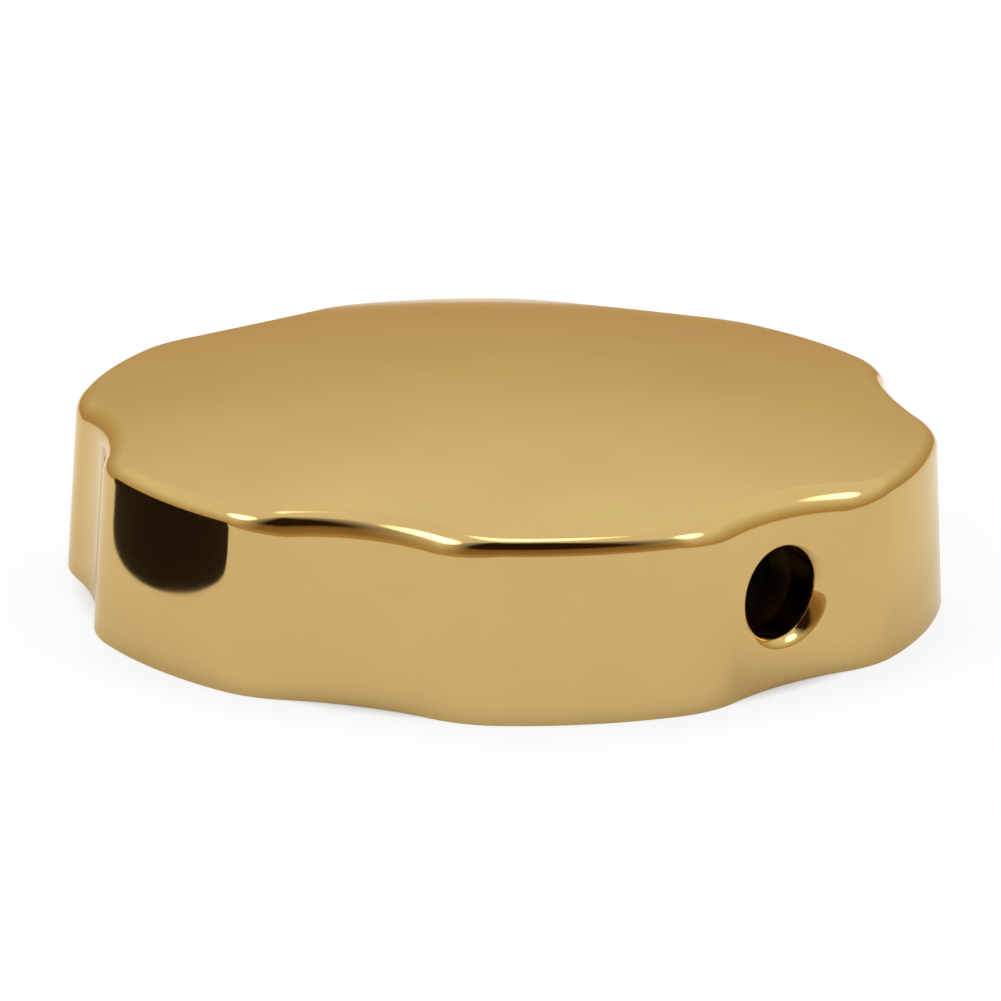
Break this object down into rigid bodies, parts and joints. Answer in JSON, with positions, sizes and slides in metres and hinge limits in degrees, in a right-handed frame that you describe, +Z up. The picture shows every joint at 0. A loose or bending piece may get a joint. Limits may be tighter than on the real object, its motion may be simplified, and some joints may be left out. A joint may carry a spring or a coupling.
{
  "type": "tap handle",
  "caption": "Low domed disc handle in polished gold brass with scalloped rim, splined spindle socket underneath and a side hole for its grub screw.",
  "frame": {"origin": "spindle axis at the plane of the bottom rim, on which the handle stands", "axes": "+Z up the spindle axis to the dome, +X along the grub screw and out through its access hole, +Y across a lobe"},
  "size_m": [0.0482, 0.05, 0.0124],
  "materials": {
    "polished_brass": "polished gold-tone plate",
    "screw_steel": "plain stainless"
  },
  "bodies": {
    "root": {"handle_body": "polished_brass", "grub_screw": "screw_steel"}
  },
  "joints": []
}
